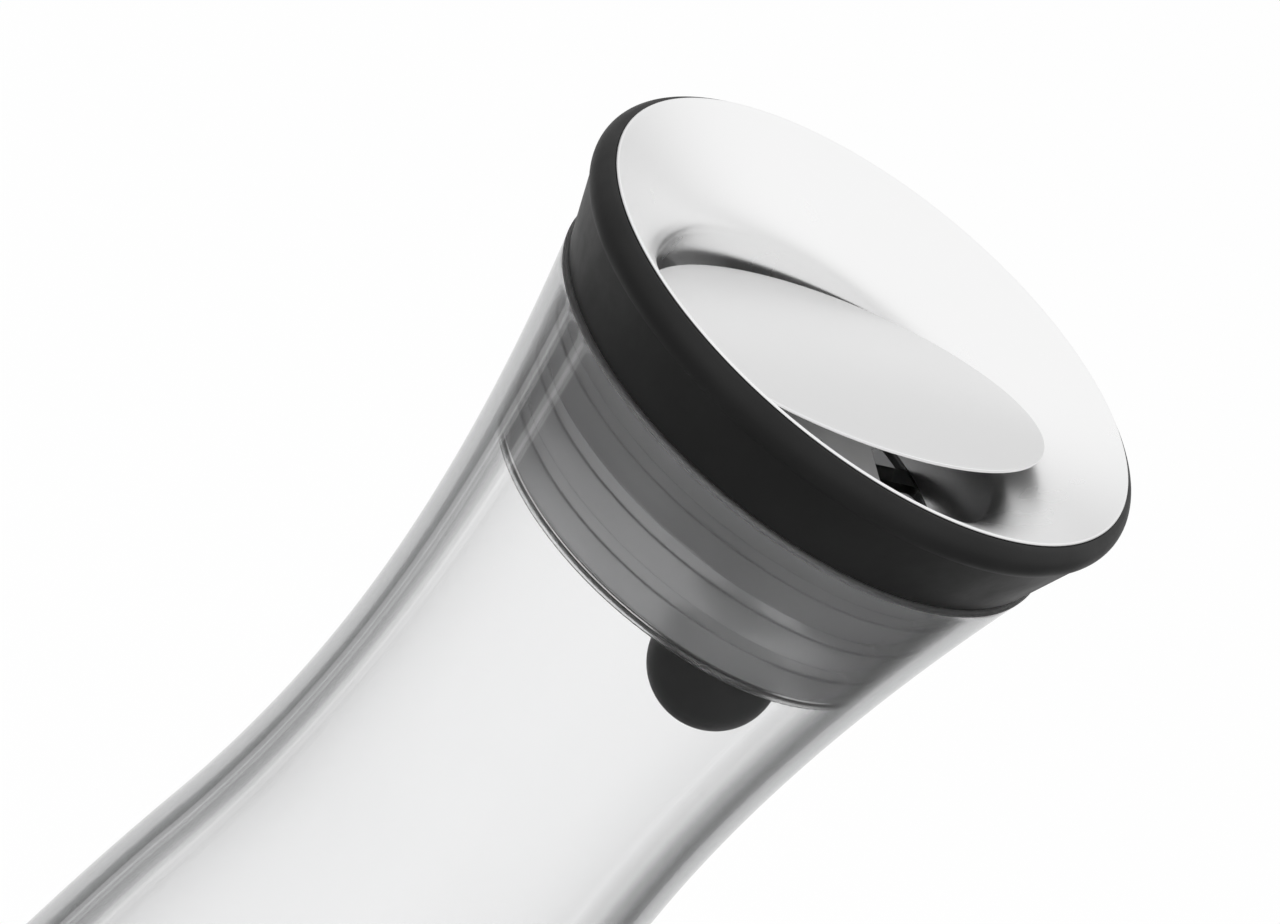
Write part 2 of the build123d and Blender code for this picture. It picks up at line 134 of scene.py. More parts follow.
class ClosureSizes(bpy.types.PropertyGroup):
    """Sizes of the funnel, collar and sleeve."""

    rim_height: length("Rim Height", "Height of the pouring rim", 290 * MM)
    rim_radius: length("Rim Radius", "Inner radius of the pouring rim", 43 * MM)
    steel: length("Steel", "Thickness of the steel sheet", 0.5 * MM)
    steel_edge: length("Steel Edge", "Rounding of the sheet's edge", 0.22 * MM)
    throat_radius: length("Throat Radius", "Radius of the upright throat", 28.9 * MM)
    throat_start: length("Throat Start", "Drop from the rim to the throat", 13 * MM)
    flare_depth: length("Flare Depth", "How steep the bowl is at the rim", 8.2 * MM)
    collar_bulge: length("Collar Bulge", "How far the collar stands out past the rim", 2 * MM)
    bulge_drop: length("Bulge Drop", "Drop from the rim to the widest place", 2.4 * MM)
    cone_drop: length("Cone Drop", "Drop from the rim to the top of the collar's cone", 5.4 * MM)
    cone_inset: length("Cone Inset", "How far the cone's top stands in from the widest place", 0.8 * MM)
    collar_shoulder: length("Collar Shoulder", "Width of the collar's top past the steel", 0.9 * MM)
    lip_shown: length("Lip Shown", "Width of the glass's lip that the collar leaves bare", 0.6 * MM)
    collar_edge: length("Collar Edge", "Rounding of the collar's foot", 0.15 * MM)
    fit: length("Fit", "Gap between fixed pieces", 0.05 * MM)
    glass_gap: length("Glass Gap", "Gap between the sleeve and the glass", 0.3 * MM)
    rib_count: IntProperty(name="Ribs", description="Number of ribs on the sleeve", default=4, min=1)
    groove_width: length("Groove Width", "Width of the grooves between ribs", 2.2 * MM)
    groove_depth: length("Groove Depth", "Depth of the grooves between ribs", 0.8 * MM)
    rib_crown: length("Rib Crown", "How much a rib bulges", 0.35 * MM)
    sleeve_wall: length("Sleeve Wall", "Thickness of the sleeve over a rib", 2.3 * MM)
    grate_drop: length("Grate Drop", "Drop from the funnel's foot to the grate's middle", 0.8 * MM)
    grate_half: length("Grate Half", "Half of the height that is black", 0.85 * MM)


class LidSizes(bpy.types.PropertyGroup):
    """Sizes of the tipping disc and its weight."""

    open_tilt: angle("Open Tilt", "Lean of the open disc", 17.15)
    pour_azimuth: angle("Pour Azimuth", "Side where the disc lifts", -26.5)
    pivot_drop: length("Pivot Drop", "Drop from the rim to the pivot", 5 * MM)
    disc_drop: length("Disc Drop", "Drop from the pivot to the disc's edge", 3.85 * MM)
    disc_radius: length("Disc Radius", "Radius of the disc", 29.8 * MM)
    disc_sheet: length("Disc Sheet", "Thickness of the disc", 0.5 * MM)
    disc_rounding: length("Disc Rounding", "Rounding of the disc's edge", 0.2 * MM)
    disc_crown: length("Disc Crown", "How much the disc domes", 0.25 * MM)
    weight_drop: length("Weight Drop", "Drop from the pivot to the ball's centre", 51.1 * MM)
    weight_radius: length("Weight Radius", "Radius of the ball", 9.6 * MM)
    cover_wall: length("Cover Wall", "Thickness of the ball's skin", 1.5 * MM)
    cover_rounding: length("Cover Rounding", "Rounding of the skin's edge at the stem", 0.3 * MM)
    stem_radius: length("Stem Radius", "Radius of the stem", 2.5 * MM)


class FinishColours(bpy.types.PropertyGroup):
    """Colours of the finishes."""

    glass: colour("Glass", "Body colour of the glass", (0.997, 0.998, 1.0))
    # Painted shade: the colour that the glass darkens to at its edges
    painted_edge_shade: colour("Glass Edge", "Glass seen along its wall", (0.03, 0.034, 0.037))
    polished_steel: colour("Polished Steel", "Spun and polished steel", (0.93, 0.93, 0.93))
    satin_steel: colour("Satin Steel", "Fine satin steel", (0.86, 0.86, 0.86))
    black_silicone: colour("Black Silicone", "Collar and weight", (0.012, 0.012, 0.012))
    smoky_silicone: colour("Smoky Silicone", "Translucent sleeve", (0.57, 0.57, 0.575))
    black_plastic: colour("Black Plastic", "Grate of the carrier", (0.02, 0.02, 0.02))
    cage_wall: colour("Cage Wall", "Clear wall of the carrier", (0.93, 0.93, 0.93))
    grey_plastic: colour("Grey Plastic", "Bridge and rocker", (0.5, 0.5, 0.5))
    pale_plastic: colour("Pale Plastic", "Glide ring", (0.75, 0.75, 0.73))


def arc(centre, radius, start, end, steps):
    """Points on a circle, with angles from the outward direction."""
    turns = [start + (end - start) * i / steps for i in range(steps + 1)]
    return [(centre[0] + radius * cos(a), centre[1] + radius * sin(a)) for a in turns]


def bezier(first, handle, last, steps):
    """Points on a curve from first to last that leaves and arrives towards the handle."""
    shares = [i / steps for i in range(steps + 1)]
    return [
        tuple((1 - s) ** 2 * a + 2 * s * (1 - s) * b + s * s * c for a, b, c in zip(first, handle, last))
        for s in shares
    ]


def rounded(corners, steps=6):
    """An outline from (radius, height, rounding) corners, each rounding a short curve."""
    points = []
    for i, (r, z, rounding) in enumerate(corners):
        corner = Vector((r, z))
        if not rounding:
            points.append((r, z))
            continue
        before = Vector(corners[i - 1][:2]) - corner
        after = Vector(corners[(i + 1) % len(corners)][:2]) - corner
        first = corner + before.normalized() * min(rounding, before.length / 2)
        last = corner + after.normalized() * min(rounding, after.length / 2)
        points += bezier(first, corner, last, steps)
    return points


def sharp(points):
    """The same points as corners without a rounding."""
    return [(r, z, 0) for r, z in points]


def link(tree, source, target):
    """Joins an output socket to an input socket."""
    tree.links.new(source, target)


def feed(tree, value, socket):
    """Puts a value on an input socket, or joins an output socket to it."""
    if isinstance(value, bpy.types.NodeSocket):
        link(tree, value, socket)
    else:
        socket.default_value = value


def math_node(tree, operation, first, second=0):
    """A math node, where each input is a number or a socket."""
    node = tree.nodes.new("ShaderNodeMath")
    node.operation = operation
    feed(tree, first, node.inputs[0])
    feed(tree, second, node.inputs[1])
    return node.outputs[0]


def turned_form_tree():
    """Geometry nodes that turn a closed outline round the Z axis into a closed skin."""
    name = "turned_form"
    if name in bpy.data.node_groups:
        return bpy.data.node_groups[name]
    tree = bpy.data.node_groups.new(name, "GeometryNodeTree")
    tree.interface.new_socket(name="Outline", in_out="INPUT", socket_type="NodeSocketGeometry")
    segments = tree.interface.new_socket(name="Segments", in_out="INPUT", socket_type="NodeSocketInt")
    segments.default_value = ROUND_STEPS
    tree.interface.new_socket(name="Surface", in_out="INPUT", socket_type="NodeSocketMaterial")
    tree.interface.new_socket(name="Form", in_out="OUTPUT", socket_type="NodeSocketGeometry")
    given = tree.nodes.new("NodeGroupInput")
    result = tree.nodes.new("NodeGroupOutput")
    size = tree.nodes.new("GeometryNodeAttributeDomainSize")
    link(tree, given.outputs["Outline"], size.inputs[0])
    count = size.outputs["Point Count"]
    rows = math_node(tree, "ADD", count, 1)
    grid = tree.nodes.new("GeometryNodeMeshGrid")
    link(tree, math_node(tree, "ADD", given.outputs["Segments"], 1), grid.inputs["Vertices X"])
    link(tree, rows, grid.inputs["Vertices Y"])
    index = tree.nodes.new("GeometryNodeInputIndex").outputs[0]
    column = math_node(tree, "FLOOR", math_node(tree, "DIVIDE", math_node(tree, "ADD", index, 0.5), rows))
    row = math_node(tree, "SUBTRACT", index, math_node(tree, "MULTIPLY", column, rows))
    sample = tree.nodes.new("GeometryNodeSampleIndex")
    sample.data_type = "FLOAT_VECTOR"
    link(tree, given.outputs["Outline"], sample.inputs["Geometry"])
    link(tree, tree.nodes.new("GeometryNodeInputPosition").outputs[0], sample.inputs["Value"])
    link(tree, math_node(tree, "MODULO", row, count), sample.inputs["Index"])
    turn = tree.nodes.new("ShaderNodeVectorRotate")
    turn.rotation_type = "Z_AXIS"
    link(tree, sample.outputs[0], turn.inputs["Vector"])
    step = math_node(tree, "DIVIDE", 2 * pi, given.outputs["Segments"])
    link(tree, math_node(tree, "MULTIPLY", column, step), turn.inputs["Angle"])
    bend = tree.nodes.new("GeometryNodeSetPosition")
    link(tree, grid.outputs["Mesh"], bend.inputs["Geometry"])
    link(tree, turn.outputs[0], bend.inputs["Position"])
    merge = tree.nodes.new("GeometryNodeMergeByDistance")
    merge.inputs["Distance"].default_value = CLOSE
    link(tree, bend.outputs[0], merge.inputs["Geometry"])
    realize = tree.nodes.new("GeometryNodeRealizeInstances")
    link(tree, merge.outputs[0], realize.inputs["Geometry"])
    coat = tree.nodes.new("GeometryNodeSetMaterial")
    link(tree, realize.outputs[0], coat.inputs["Geometry"])
    link(tree, given.outputs["Surface"], coat.inputs["Material"])
    link(tree, coat.outputs[0], result.inputs["Form"])
    return tree


def set_input(modifier, name, value):
    """Sets a named input of a geometry nodes modifier by its identifier."""
    for item in modifier.node_group.interface.items_tree:
        if item.name == name and item.in_out == "INPUT":
            modifier[item.identifier] = value
            return
    raise RuntimeError(f"the tree has no input named {name}")


def applied(obj, name):
    """A plain mesh object from what the modifiers of obj make; obj is removed."""
    bpy.context.view_layer.update()
    graph = bpy.context.evaluated_depsgraph_get()
    mesh = bpy.data.meshes.new_from_object(obj.evaluated_get(graph))
    bpy.data.objects.remove(obj)
    mesh.name = name
    piece = bpy.data.objects.new(name, mesh)
    bpy.context.scene.collection.objects.link(piece)
    return piece


def turned(name, points, surface, segments=ROUND_STEPS, lean=None, sharp_angle=30):
    """A piece turned from an outline of (radius, height) points, then leaned by a matrix."""
    mesh = bpy.data.meshes.new(name + "_outline")
    edges = [(i, (i + 1) % len(points)) for i in range(len(points))]
    mesh.from_pydata([(r, 0, z) for r, z in points], edges, [])
    outline = bpy.data.objects.new(name + "_outline", mesh)
    bpy.context.scene.collection.objects.link(outline)
    modifier = outline.modifiers.new("turned_form", "NODES")
    modifier.node_group = turned_form_tree()
    set_input(modifier, "Segments", segments)
    set_input(modifier, "Surface", surface)
    piece = applied(outline, name)
    tidy(piece.data, sharp_angle)
    if lean is not None:
        piece.data.transform(lean)
    return piece


def tidy(mesh, sharp_angle):
    """Drops faces without area, turns the faces outwards and shades them smooth."""
    work = bmesh.new()
    work.from_mesh(mesh)
    bmesh.ops.dissolve_degenerate(work, dist=CLOSE / 2, edges=work.edges)
    bmesh.ops.recalc_face_normals(work, faces=work.faces)
    work.to_mesh(mesh)
    work.free()
    mesh.shade_smooth()
    mesh.set_sharp_from_angle(angle=radians(sharp_angle))


def mapped(tree, value, start, end, smooth=False):
    """A value carried over from one range to another, each a pair of numbers or sockets."""
    node = tree.nodes.new("ShaderNodeMapRange")
    if smooth:
        node.interpolation_type = "SMOOTHSTEP"
    labels = ("Value", "From Min", "From Max", "To Min", "To Max")
    for label, given in zip(labels, (value, *start, *end)):
        feed(tree, given, node.inputs[label])
    return node.outputs[0]


def mixed(tree, factor, first, second, blend="MIX"):
    """A colour mixed from two, where each input is a value or a socket."""
    node = tree.nodes.new("ShaderNodeMix")
    node.data_type = "RGBA"
    node.blend_type = blend
    for label, value in (("Factor", factor), ("A", first), ("B", second)):
        feed(tree, value, node.inputs[label])
    return node.outputs["Result"]


def split_place(tree, vector):
    """The three parts of a vector."""
    node = tree.nodes.new("ShaderNodeSeparateXYZ")
    link(tree, vector, node.inputs[0])
    return node.outputs["X"], node.outputs["Y"], node.outputs["Z"]


def speckle(tree, given):
    """A soft value that wanders between two limits over the surface."""
    noise = tree.nodes.new("ShaderNodeTexNoise")
    noise.inputs["Roughness"].default_value = 0.6
    for label in ("Vector", "Scale", "Detail"):
        link(tree, given[label], noise.inputs[label])
    return mapped(tree, noise.outputs["Fac"], (0.3, 0.7), (given["Low"], given["High"]))


def turning_lines(tree, given):
    """Fine rings round the Z axis, as spinning and polishing leave them."""
    x, y, z = split_place(tree, given["Vector"])
    squares = math_node(tree, "ADD", math_node(tree, "MULTIPLY", x, x), math_node(tree, "MULTIPLY", y, y))
    ring = tree.nodes.new("ShaderNodeCombineXYZ")
    link(tree, math_node(tree, "SQRT", squares), ring.inputs["X"])
    link(tree, z, ring.inputs["Z"])
    noise = tree.nodes.new("ShaderNodeTexNoise")
    noise.inputs["Detail"].default_value = 3.0
    link(tree, ring.outputs[0], noise.inputs["Vector"])
    link(tree, given["Lines per Metre"], noise.inputs["Scale"])
    return noise.outputs["Fac"]


def flat_slab(tree, given):
    """1 inside a flat slab of the piece, and 0 above and below it."""
    height = split_place(tree, given["Vector"])[2]
    off = math_node(tree, "ABSOLUTE", math_node(tree, "SUBTRACT", height, given["Middle"]))
    return math_node(tree, "LESS_THAN", off, given["Half"])


def studio_sweep(tree, given):
    """The studio's level along a ray: full ahead of the camera, dim to its sides, with two lit strips."""
    incoming = tree.nodes.new("ShaderNodeNewGeometry").outputs["Incoming"]
    x, y, _ = split_place(tree, incoming)
    # Incoming points back along the ray, so its parts are turned round
    toward_x, toward_y = (math_node(tree, "MULTIPLY", part, -1.0) for part in (x, y))
    azimuth = math_node(tree, "ARCTAN2", toward_y, toward_x)
    turn = tree.nodes.new("ShaderNodeVectorTransform")
    turn.vector_type = "VECTOR"
    turn.convert_from = "WORLD"
    turn.convert_to = "CAMERA"
    link(tree, incoming, turn.inputs[0])
    ahead = math_node(tree, "MULTIPLY", split_place(tree, turn.outputs[0])[2], -1.0)
    level = mapped(tree, ahead, (given["Dim"], given["Full"]), (given["Dim Level"], 1.0), smooth=True)
    edge = math_node(tree, "ADD", given["Half Width"], given["Softness"])
    for label in ("First Strip", "Second Strip"):
        off = math_node(tree, "ABSOLUTE", math_node(tree, "SUBTRACT", azimuth, given[label]))
        strip = mapped(tree, off, (given["Half Width"], edge), (1.0, 0.0), smooth=True)
        level = math_node(tree, "MAXIMUM", level, math_node(tree, "MULTIPLY", strip, given["Strips"]))
    return level


# For each shader group: what builds it, its inputs and its output
SHADER_GROUPS = {
    "handling_speckle": (speckle, ("Vector", "Scale", "Detail", "Low", "High"), "Value"),
    "turning_lines": (turning_lines, ("Vector", "Lines per Metre"), "Height"),
    "flat_slab": (flat_slab, ("Vector", "Middle", "Half"), "Inside"),
    "studio_sweep": (
        studio_sweep,
        ("Full", "Dim", "Dim Level", "Strips", "First Strip", "Second Strip", "Half Width", "Softness"),
        "Level",
    ),
}


def shader_group(name):
    """A shader group from the list above, made when it is first asked for."""
    if name in bpy.data.node_groups:
        return bpy.data.node_groups[name]
    build, labels, output = SHADER_GROUPS[name]
    tree = bpy.data.node_groups.new(name, "ShaderNodeTree")
    for label in labels:
        kind = "NodeSocketVector" if label == "Vector" else "NodeSocketFloat"
        tree.interface.new_socket(name=label, in_out="INPUT", socket_type=kind)
    tree.interface.new_socket(name=output, in_out="OUTPUT", socket_type="NodeSocketFloat")
    given = tree.nodes.new("NodeGroupInput")
    result = tree.nodes.new("NodeGroupOutput")
    link(tree, build(tree, given.outputs), result.inputs[output])
    return tree


def new_material(name):
    """An empty material with a principled shader and the piece's own coordinates."""
    material = bpy.data.materials.new(name)
    material.use_nodes = True
    tree = material.node_tree
    shader = tree.nodes["Principled BSDF"]
    coordinates = tree.nodes.new("ShaderNodeTexCoord").outputs["Object"]
    return material, tree, shader, coordinates


def place_group(tree, name, **values):
    """A shader group placed in a tree with its own values; returns what it puts out."""
    node = tree.nodes.new("ShaderNodeGroup")
    node.node_tree = shader_group(name)
    for label, value in values.items():
        feed(tree, value, node.inputs[label.replace("_", " ")])
    return node.outputs[0]


def wandering(tree, coordinates, scale, detail, low, high):
    """A value that wanders between two limits over the piece."""
    return place_group(
        tree, "handling_speckle", Vector=coordinates, Scale=scale, Detail=detail, Low=low, High=high
    )


def shaded(tree, shader, tint, shade):
    """Gives the shader a tint that a wandering value makes lighter or darker."""
    link(tree, mixed(tree, 1.0, (*tint, 1), shade, "MULTIPLY"), shader.inputs["Base Color"])


def add_bump(tree, shader, height, strength, distance):
    """Feeds a height into the shader's normal."""
    bump = tree.nodes.new("ShaderNodeBump")
    bump.inputs["Strength"].default_value = strength
    bump.inputs["Distance"].default_value = distance
    link(tree, height, bump.inputs["Height"])
    link(tree, bump.outputs[0], shader.inputs["Normal"])


def glass_finish(colours):
    """Clear blown glass with painted shade in its colour, darker the more its surface turns from the eye,
    and dull on the lip of the mouth.
    """
    material, tree, shader, coordinates = new_material("clear_glass")
    shader.inputs["IOR"].default_value = 1.5
    shader.inputs["Transmission Weight"].default_value = 1.0
    # Painted shade: the glass's colour darkens towards its edges as the surface turns from the eye
    facing = tree.nodes.new("ShaderNodeLayerWeight")
    facing.inputs["Blend"].default_value = 0.5
    edge_shade_ramp = tree.nodes.new("ShaderNodeValToRGB")
    link(tree, facing.outputs["Facing"], edge_shade_ramp.inputs["Fac"])
    stops = edge_shade_ramp.color_ramp.elements
    stops[0].color = (*colours.glass, 1)
    stops[1].color = (*colours.painted_edge_shade, 1)
    for turned_away, share in PAINTED_EDGE_SHADE_SHARES:
        stop = stops.new(turned_away)
        stop.color = (*[a + share * (b - a) for a, b in zip(colours.glass, colours.painted_edge_shade)], 1)
    sizes = bpy.context.scene.carafe_glass
    lip = place_group(tree, "flat_slab", Vector=coordinates, Middle=sizes.height, Half=sizes.lip_height)
    base = mixed(tree, lip, edge_shade_ramp.outputs["Color"], (*colours.glass, 1))
    link(tree, base, shader.inputs["Base Color"])
    link(tree, math_node(tree, "MULTIPLY", lip, sizes.lip_roughness), shader.inputs["Roughness"])
    return material


def steel_finish(name, tint, low, high, lines):
    """Stainless steel; its roughness wanders a little and fine rings show where it was turned."""
    material, tree, shader, coordinates = new_material(name)
    shader.inputs["Base Color"].default_value = (*tint, 1)
    shader.inputs["Metallic"].default_value = 1.0
    link(tree, wandering(tree, coordinates, 40.0, 3.0, low, high), shader.inputs["Roughness"])
    rings = place_group(tree, "turning_lines", Vector=coordinates, Lines_per_Metre=lines)
    add_bump(tree, shader, rings, 0.03, 0.002 * MM)
    return material


def silicone_finish(name, tint, rough):
    """Soft silicone: a matt skin with a very fine tooth and a few lighter dusty patches."""
    material, tree, shader, coordinates = new_material(name)
    shader.inputs["Specular IOR Level"].default_value = 0.2
    shaded(tree, shader, tint, wandering(tree, coordinates, 35.0, 6.0, 0.85, 1.25))
    sheen = wandering(tree, coordinates, 120.0, 6.0, rough - 0.06, rough + 0.06)
    link(tree, sheen, shader.inputs["Roughness"])
    add_bump(tree, shader, wandering(tree, coordinates, 5000.0, 2.0, 0.0, 1.0), 0.12, 0.03 * MM)
    return material


def smoky_finish(colours):
    """Translucent smoky silicone that is a little cloudy, with a fine tooth."""
    material, tree, shader, coordinates = new_material("smoky_silicone")
    shaded(tree, shader, colours.smoky_silicone, wandering(tree, coordinates, 28.0, 1.0, 0.7, 1.15))
    shader.inputs["Roughness"].default_value = 0.25
    shader.inputs["IOR"].default_value = 1.41
    shader.inputs["Transmission Weight"].default_value = 0.58
    add_bump(tree, shader, wandering(tree, coordinates, 900.0, 3.0, 0.0, 1.0), 0.1, 0.03 * MM)
    return material


def plastic_finish(name, tint, rough):
    """Moulded plastic with a fine spark-eroded skin."""
    material, tree, shader, coordinates = new_material(name)
    shaded(tree, shader, tint, wandering(tree, coordinates, 50.0, 5.0, 0.92, 1.08))
    skin = wandering(tree, coordinates, 200.0, 4.0, rough - 0.05, rough + 0.05)
    link(tree, skin, shader.inputs["Roughness"])
    add_bump(tree, shader, wandering(tree, coordinates, 3000.0, 2.0, 0.0, 1.0), 0.1, 0.02 * MM)
    return material


def cage_finish(colours):
    """Clear moulded plastic for the wall that carries the sleeve, tinted black at the grate."""
    material, tree, shader, coordinates = new_material("black_plastic")
    sizes = bpy.context.scene.carafe_closure
    middle = funnel_low.z - sizes.grate_drop
    grate = place_group(tree, "flat_slab", Vector=coordinates, Middle=middle, Half=sizes.grate_half)
    base = mixed(tree, grate, (*colours.cage_wall, 1), (*colours.black_plastic, 1))
    link(tree, base, shader.inputs["Base Color"])
    shader.inputs["Transmission Weight"].default_value = 1.0
    link(tree, wandering(tree, coordinates, 200.0, 4.0, 0.12, 0.2), shader.inputs["Roughness"])
    add_bump(tree, shader, wandering(tree, coordinates, 3000.0, 2.0, 0.0, 1.0), 0.1, 0.01 * MM)
    return material


def finish(slot):
    """The material for a slot of the record, made when it is first asked for."""
    if slot in bpy.data.materials and bpy.data.materials[slot].get("dressed"):
        return bpy.data.materials[slot]
    if slot in bpy.data.materials:
        bpy.data.materials[slot].name = slot + "_plain"
    colours = bpy.context.scene.carafe_colours
    makers = {
        "clear_glass": lambda: glass_finish(colours),
        "polished_steel": lambda: steel_finish(slot, colours.polished_steel, 0.26, 0.3, 2500.0),
        "satin_steel": lambda: steel_finish(slot, colours.satin_steel, 0.3, 0.34, 4000.0),
        "black_silicone": lambda: silicone_finish(slot, colours.black_silicone, 0.5),
        "smoky_silicone": lambda: smoky_finish(colours),
        "black_plastic": lambda: cage_finish(colours),
        "grey_plastic": lambda: plastic_finish(slot, colours.grey_plastic, 0.4),
        "pale_plastic": lambda: plastic_finish(slot, colours.pale_plastic, 0.4),
    }
    material = makers[slot]()
    material["dressed"] = True
    return material


def stand_for(piece, node, body):
    """The piece rides on the body in the place of the packed node."""
    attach(piece, body)
    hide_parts(node)


def dress_node(node, slot):
    """Gives a packed node its finish."""
    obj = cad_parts[node]
    for material_slot in obj.material_slots:
        material_slot.material = finish(slot)


def neck_radius(sizes, height):
    """Inner radius of the neck at a height above the waist."""
    slack = 1 - 2 * sizes.neck_fullness
    share = (height - sizes.waist_height) / (sizes.height - sizes.waist_height)
    along = (sqrt(sizes.neck_fullness**2 + slack * share) - sizes.neck_fullness) / slack
    return sizes.waist_radius - sizes.wall + (sizes.mouth_radius - sizes.waist_radius) * along**2


def glass_side(sizes, inset, bottom):
    """The side line of the glass from the bottom to the mouth, moved inwards."""
    drop = sizes.waist_height - sizes.belly_height
    lean = 2 * atan2(sizes.belly_radius - sizes.waist_radius, drop)
    waist_centre = (sizes.waist_radius + sizes.waist_curve - inset, sizes.waist_height)
    turn_height = sizes.waist_height - sizes.waist_curve * sin(lean)
    belly_curve = (turn_height - sizes.belly_height) / sin(lean)
    belly_centre = (sizes.belly_radius - inset - belly_curve, sizes.belly_height)
    foot_rise = sizes.belly_height - bottom
    foot_step = sizes.belly_radius - sizes.foot_radius
    foot_curve = (foot_rise**2 + foot_step**2) / (2 * foot_step)
    foot_centre = (sizes.belly_radius - inset - foot_curve, sizes.belly_height)
    foot_lean = -asin(foot_rise / foot_curve)
    waist = (sizes.waist_radius - inset, sizes.waist_height)
    handle = (waist[0], sizes.waist_height + sizes.neck_fullness * (sizes.height - sizes.waist_height))
    mouth = (sizes.mouth_radius - inset, sizes.height)
    points = arc(foot_centre, foot_curve, foot_lean, 0, 14)
    points += arc(belly_centre, belly_curve, 0, lean, 40)[1:]
    points += arc(waist_centre, sizes.waist_curve, pi + lean, pi, 24)[1:]
    points += bezier(waist, handle, mouth, 36)[1:]
    return points


class CARAFE_OT_glass(bpy.types.Operator):
    """Turn the glass body from its side lines"""

    bl_idname = "carafe.glass"
    bl_label = "Glass Body"

    def execute(self, context):
        sizes = context.scene.carafe_glass
        outside = glass_side(sizes, 0, 0)
        inside = glass_side(sizes, sizes.wall, sizes.base)
        rim = sizes.mouth_rounding
        middle = (0, sizes.punt_depth)
        handle = (sizes.punt_radius / 2, sizes.punt_depth)
        corners = sharp(bezier(middle, handle, (sizes.punt_radius, 0), 12))
        corners += [(*outside[0], sizes.foot_rounding)]
        corners += sharp(p for p in outside[1:-1] if p[1] > sizes.foot_rounding)
        corners += [(*outside[-1], rim), (*inside[-1], rim)]
        corners += sharp(p for p in reversed(inside[1:-1]) if p[1] > sizes.base + sizes.base_corner)
        corners += [(*inside[0], sizes.base_corner), (0, sizes.base, 0)]
        piece = turned("glass_wall", rounded(corners, 10), finish("clear_glass"), sizes.segments)
        stand_for(piece, "glass_body", "carafe")
        return {"FINISHED"}


def bowl_points(sizes, offset):
    """The bowl's curve from the throat to the rim, moved outwards through the sheet."""
    lean = atan2(sizes.flare_depth, sizes.rim_radius - sizes.throat_radius)
    rim = (sizes.rim_radius + offset * sin(lean), sizes.rim_height - offset * cos(lean))
    knee_radius = sizes.throat_radius + offset
    knee = (knee_radius, rim[1] - (rim[0] - knee_radius) * tan(lean))
    return bezier((knee_radius, sizes.rim_height - sizes.throat_start), knee, rim, 40)


class CARAFE_OT_funnel(bpy.types.Operator):
    """Spin the steel pouring funnel"""

    bl_idname = "carafe.funnel"
    bl_label = "Pouring Funnel"

    def execute(self, context):
        sizes = context.scene.carafe_closure
        inner = bowl_points(sizes, 0)
        outer = bowl_points(sizes, sizes.steel)
        corners = [(inner[0][0], funnel_low.z, sizes.steel_edge)]
        corners += sharp(inner[:-1])
        corners += [(*inner[-1], sizes.steel_edge), (*outer[-1], sizes.steel_edge)]
        corners += sharp(reversed(outer[:-1]))
        corners += [(outer[0][0], funnel_low.z, sizes.steel_edge)]
        piece = turned("steel_funnel", rounded(corners), finish("polished_steel"), STEEL_STEPS)
        stand_for(piece, "pouring_funnel", "closure")
        return {"FINISHED"}


class CARAFE_OT_collar(bpy.types.Operator):
    """Mould the silicone collar round the funnel"""

    bl_idname = "carafe.collar"
    bl_label = "Silicone Collar"

    def execute(self, context):
        sizes = context.scene.carafe_closure
        glass = context.scene.carafe_glass
        inner_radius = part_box("carrier_cage")[1].x + sizes.fit
        bulge = (sizes.rim_radius + sizes.collar_bulge, sizes.rim_height - sizes.bulge_drop)
        cone_top = (bulge[0] - sizes.cone_inset, sizes.rim_height - sizes.cone_drop)
        top = (sizes.rim_radius + sizes.collar_shoulder, collar_high.z)
        seat = [p for p in bowl_points(sizes, sizes.steel + sizes.fit) if p[0] > inner_radius]
        foot = glass.mouth_radius - sizes.lip_shown
        corners = [(inner_radius, collar_low.z, 0), (foot, collar_low.z, sizes.collar_edge)]
        corners += sharp(three_point(cone_top, bulge, top, 24))
        corners += sharp(reversed(seat))
        piece = turned("collar_ring", rounded(corners), finish("black_silicone"), sharp_angle=50)
        stand_for(piece, "silicone_collar", "closure")
        return {"FINISHED"}


def three_point(first, middle, last, steps):
    """Points on the circle through three points."""
    a, b, c = (Vector(p) for p in (first, middle, last))
    turn = 2 * ((b - a).x * (c - a).y - (b - a).y * (c - a).x)
    ab, ac = (b - a).length_squared, (c - a).length_squared
    centre = a + Vector((ab * (c - a).y - ac * (b - a).y, ac * (b - a).x - ab * (c - a).x)) / turn
    start, end = (atan2((p - centre).y, (p - centre).x) for p in (a, c))
    return arc(centre, (a - centre).length, start, end, steps)


